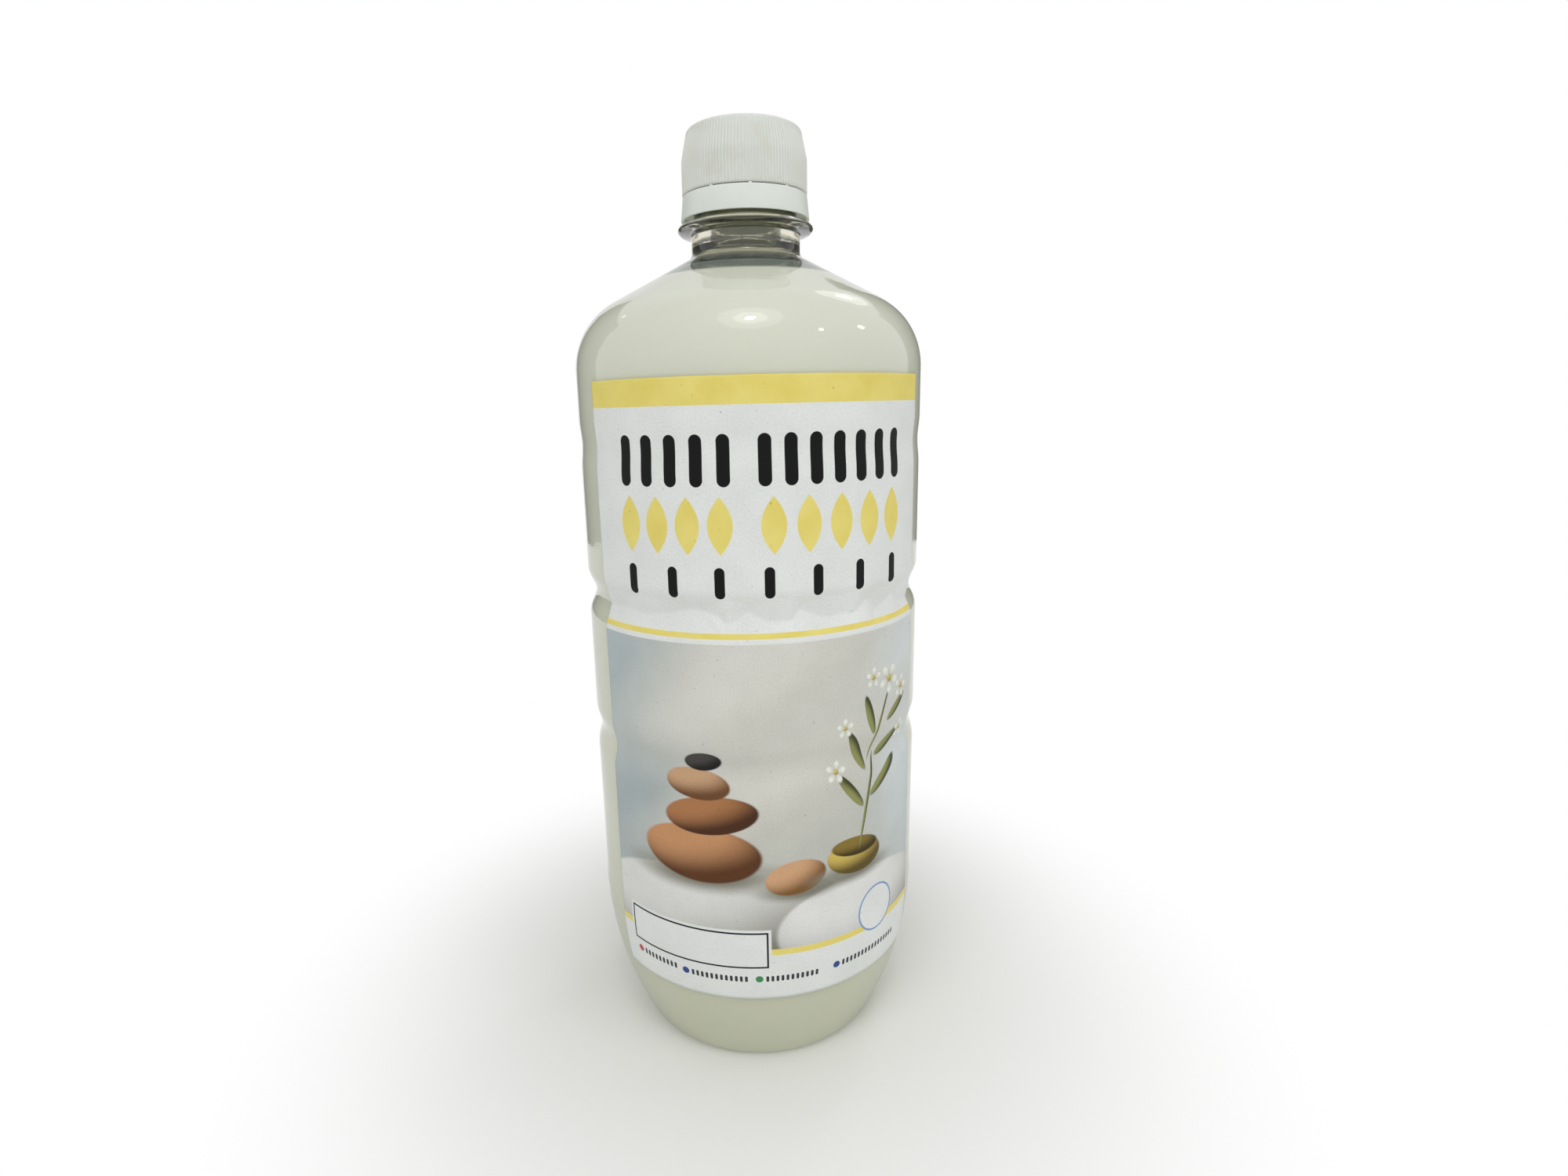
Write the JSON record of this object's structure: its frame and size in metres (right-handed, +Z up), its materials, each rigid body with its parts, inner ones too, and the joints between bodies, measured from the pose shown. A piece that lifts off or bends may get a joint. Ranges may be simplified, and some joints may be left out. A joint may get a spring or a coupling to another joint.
{
  "type": "liquid soap bottle",
  "caption": "Clear blown bottle of cloudy liquid soap with waist grooves, a support ring, a knurled white screw cap over a tamper band, and a paper label on the front.",
  "frame": {"origin": "centre of the standing ring, on the surface the bottle stands on", "axes": "+Z up along the bottle's axis to the cap, the label faces -Y, +X to the right as the label is seen"},
  "size_m": [0.0856, 0.0859, 0.2289],
  "materials": {
    "clear_pet": "clear blown PET, glossy",
    "soap": "cloudy pearly liquid",
    "cap_white": "moulded white polyethylene, satin",
    "liner_white": "soft white seal disc, matt",
    "band_white": "moulded white polyethylene, smooth",
    "label_paper": "coated paper with printed bars and a picture field"
  },
  "bodies": {
    "bottle": {"bottle": "clear_pet", "liquid_soap": "soap", "tamper_band": "band_white", "paper_label": "label_paper"},
    "liner": {"cap_liner": "liner_white"},
    "cap": {"screw_cap": "cap_white"}
  },
  "joints": [
    {"name": "cap_climb", "type": "slide", "parent": "bottle", "child": "liner", "axis": [0, 0, 1], "range_m": [0, 0.0064]},
    {"name": "cap_turn", "type": "hinge", "parent": "liner", "child": "cap", "pos_m": [0, 0, 0.2145], "axis": [0, 0, 1], "range_deg": [0, 720]}
  ],
  "couplings": [
    {"joint": "cap_climb", "follows": "cap_turn", "m_per_rad": 0.00050611}
  ]
}
